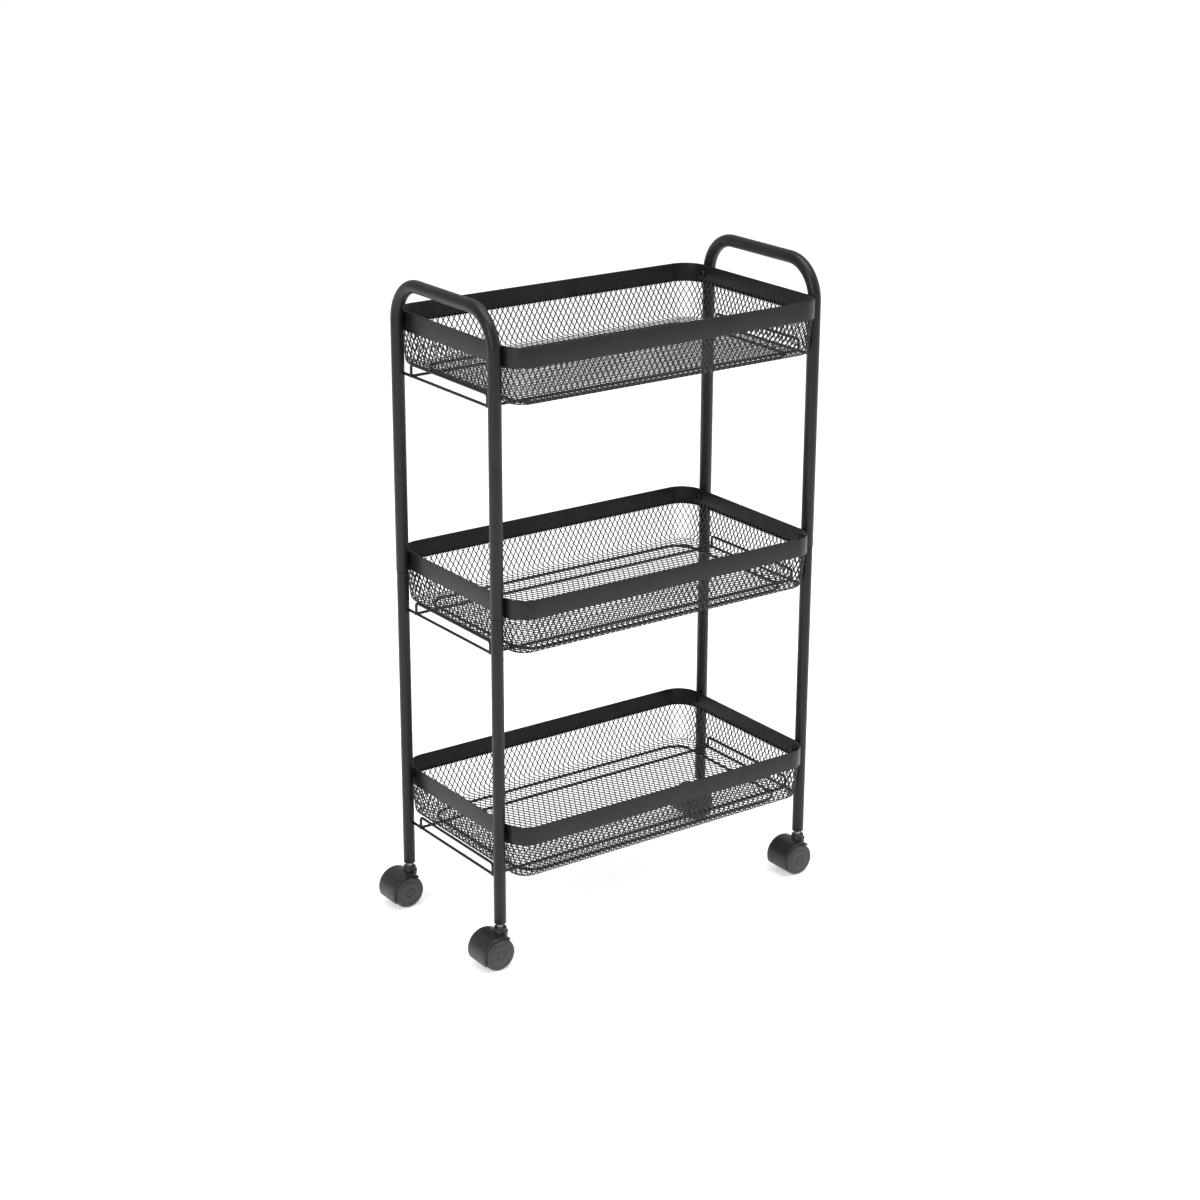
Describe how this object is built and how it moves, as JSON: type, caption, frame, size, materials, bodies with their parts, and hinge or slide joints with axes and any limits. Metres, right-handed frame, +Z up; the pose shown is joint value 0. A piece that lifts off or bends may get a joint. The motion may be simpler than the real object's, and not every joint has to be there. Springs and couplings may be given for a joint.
{
  "type": "rolling utility cart",
  "caption": "Narrow rolling utility cart: open wire-mesh baskets with flat rim bands, hung between two tubular end frames with arched handles, on swivelling twin-wheel casters.",
  "frame": {"origin": "centre of the base of the whole cart's box, on the floor, with every caster trailing towards -X", "axes": "+X along the baskets, from the left handle to the right one; +Y across the baskets, from front to back; +Z up"},
  "size_m": [0.4834, 0.253, 0.77],
  "materials": {
    "powder_coat": "black powder coat, satin",
    "tray_mesh": "black powder coat on expanded steel mesh",
    "support_wire": "black powder coat on drawn steel wire",
    "black_plastic": "black moulded nylon, low sheen",
    "wheel_plastic": "dark grey moulded polypropylene, worn matt",
    "zinc_steel": "bright zinc plate"
  },
  "bodies": {
    "cart_frame": {"upper_frame_left": "powder_coat", "upper_frame_right": "powder_coat", "lower_leg_front_left": "powder_coat", "lower_leg_rear_left": "powder_coat", "lower_leg_front_right": "powder_coat", "lower_leg_rear_right": "powder_coat", "rim_band_top": "powder_coat", "mesh_tray_top": "tray_mesh", "wire_frame_top": "support_wire", "rim_band_middle": "powder_coat", "mesh_tray_middle": "tray_mesh", "wire_frame_middle": "support_wire", "rim_band_bottom": "powder_coat", "mesh_tray_bottom": "tray_mesh", "wire_frame_bottom": "support_wire", "bolt_top_front_left": "powder_coat", "bolt_top_rear_left": "powder_coat", "bolt_top_front_right": "powder_coat", "bolt_top_rear_right": "powder_coat", "bolt_middle_front_left": "powder_coat", "bolt_middle_rear_left": "powder_coat", "bolt_middle_front_right": "powder_coat", "bolt_middle_rear_right": "powder_coat", "bolt_bottom_front_left": "powder_coat", "bolt_bottom_rear_left": "powder_coat", "bolt_bottom_front_right": "powder_coat", "bolt_bottom_rear_right": "powder_coat", "caster_socket_front_left": "black_plastic", "caster_stem_front_left": "zinc_steel", "caster_socket_rear_left": "black_plastic", "caster_stem_rear_left": "zinc_steel", "caster_socket_front_right": "black_plastic", "caster_stem_front_right": "zinc_steel", "caster_socket_rear_right": "black_plastic", "caster_stem_rear_right": "zinc_steel"},
    "caster_front_left": {"caster_housing_front_left": "black_plastic", "caster_axle_front_left": "zinc_steel"},
    "wheel_front_of_front_left": {"wheel_front_of_front_left": "wheel_plastic"},
    "wheel_rear_of_front_left": {"wheel_rear_of_front_left": "wheel_plastic"},
    "caster_rear_left": {"caster_housing_rear_left": "black_plastic", "caster_axle_rear_left": "zinc_steel"},
    "wheel_front_of_rear_left": {"wheel_front_of_rear_left": "wheel_plastic"},
    "wheel_rear_of_rear_left": {"wheel_rear_of_rear_left": "wheel_plastic"},
    "caster_front_right": {"caster_housing_front_right": "black_plastic", "caster_axle_front_right": "zinc_steel"},
    "wheel_front_of_front_right": {"wheel_front_of_front_right": "wheel_plastic"},
    "wheel_rear_of_front_right": {"wheel_rear_of_front_right": "wheel_plastic"},
    "caster_rear_right": {"caster_housing_rear_right": "black_plastic", "caster_axle_rear_right": "zinc_steel"},
    "wheel_front_of_rear_right": {"wheel_front_of_rear_right": "wheel_plastic"},
    "wheel_rear_of_rear_right": {"wheel_rear_of_rear_right": "wheel_plastic"}
  },
  "joints": [
    {"name": "swivel_front_left", "type": "hinge", "parent": "cart_frame", "child": "caster_front_left", "pos_m": [-0.2082, -0.099, 0.05], "axis": [0, 0, 1], "continuous": true},
    {"name": "roll_front_of_front_left", "type": "hinge", "parent": "caster_front_left", "child": "wheel_front_of_front_left", "pos_m": [-0.2192, -0.099, 0.01975], "axis": [0, 1, 0], "continuous": true},
    {"name": "roll_rear_of_front_left", "type": "hinge", "parent": "caster_front_left", "child": "wheel_rear_of_front_left", "pos_m": [-0.2192, -0.099, 0.01975], "axis": [0, 1, 0], "continuous": true},
    {"name": "swivel_rear_left", "type": "hinge", "parent": "cart_frame", "child": "caster_rear_left", "pos_m": [-0.2082, 0.099, 0.05], "axis": [0, 0, 1], "continuous": true},
    {"name": "roll_front_of_rear_left", "type": "hinge", "parent": "caster_rear_left", "child": "wheel_front_of_rear_left", "pos_m": [-0.2192, 0.099, 0.01975], "axis": [0, 1, 0], "continuous": true},
    {"name": "roll_rear_of_rear_left", "type": "hinge", "parent": "caster_rear_left", "child": "wheel_rear_of_rear_left", "pos_m": [-0.2192, 0.099, 0.01975], "axis": [0, 1, 0], "continuous": true},
    {"name": "swivel_front_right", "type": "hinge", "parent": "cart_frame", "child": "caster_front_right", "pos_m": [0.2328, -0.099, 0.05], "axis": [0, 0, 1], "continuous": true},
    {"name": "roll_front_of_front_right", "type": "hinge", "parent": "caster_front_right", "child": "wheel_front_of_front_right", "pos_m": [0.2218, -0.099, 0.01975], "axis": [0, 1, 0], "continuous": true},
    {"name": "roll_rear_of_front_right", "type": "hinge", "parent": "caster_front_right", "child": "wheel_rear_of_front_right", "pos_m": [0.2218, -0.099, 0.01975], "axis": [0, 1, 0], "continuous": true},
    {"name": "swivel_rear_right", "type": "hinge", "parent": "cart_frame", "child": "caster_rear_right", "pos_m": [0.2328, 0.099, 0.05], "axis": [0, 0, 1], "continuous": true},
    {"name": "roll_front_of_rear_right", "type": "hinge", "parent": "caster_rear_right", "child": "wheel_front_of_rear_right", "pos_m": [0.2218, 0.099, 0.01975], "axis": [0, 1, 0], "continuous": true},
    {"name": "roll_rear_of_rear_right", "type": "hinge", "parent": "caster_rear_right", "child": "wheel_rear_of_rear_right", "pos_m": [0.2218, 0.099, 0.01975], "axis": [0, 1, 0], "continuous": true}
  ]
}
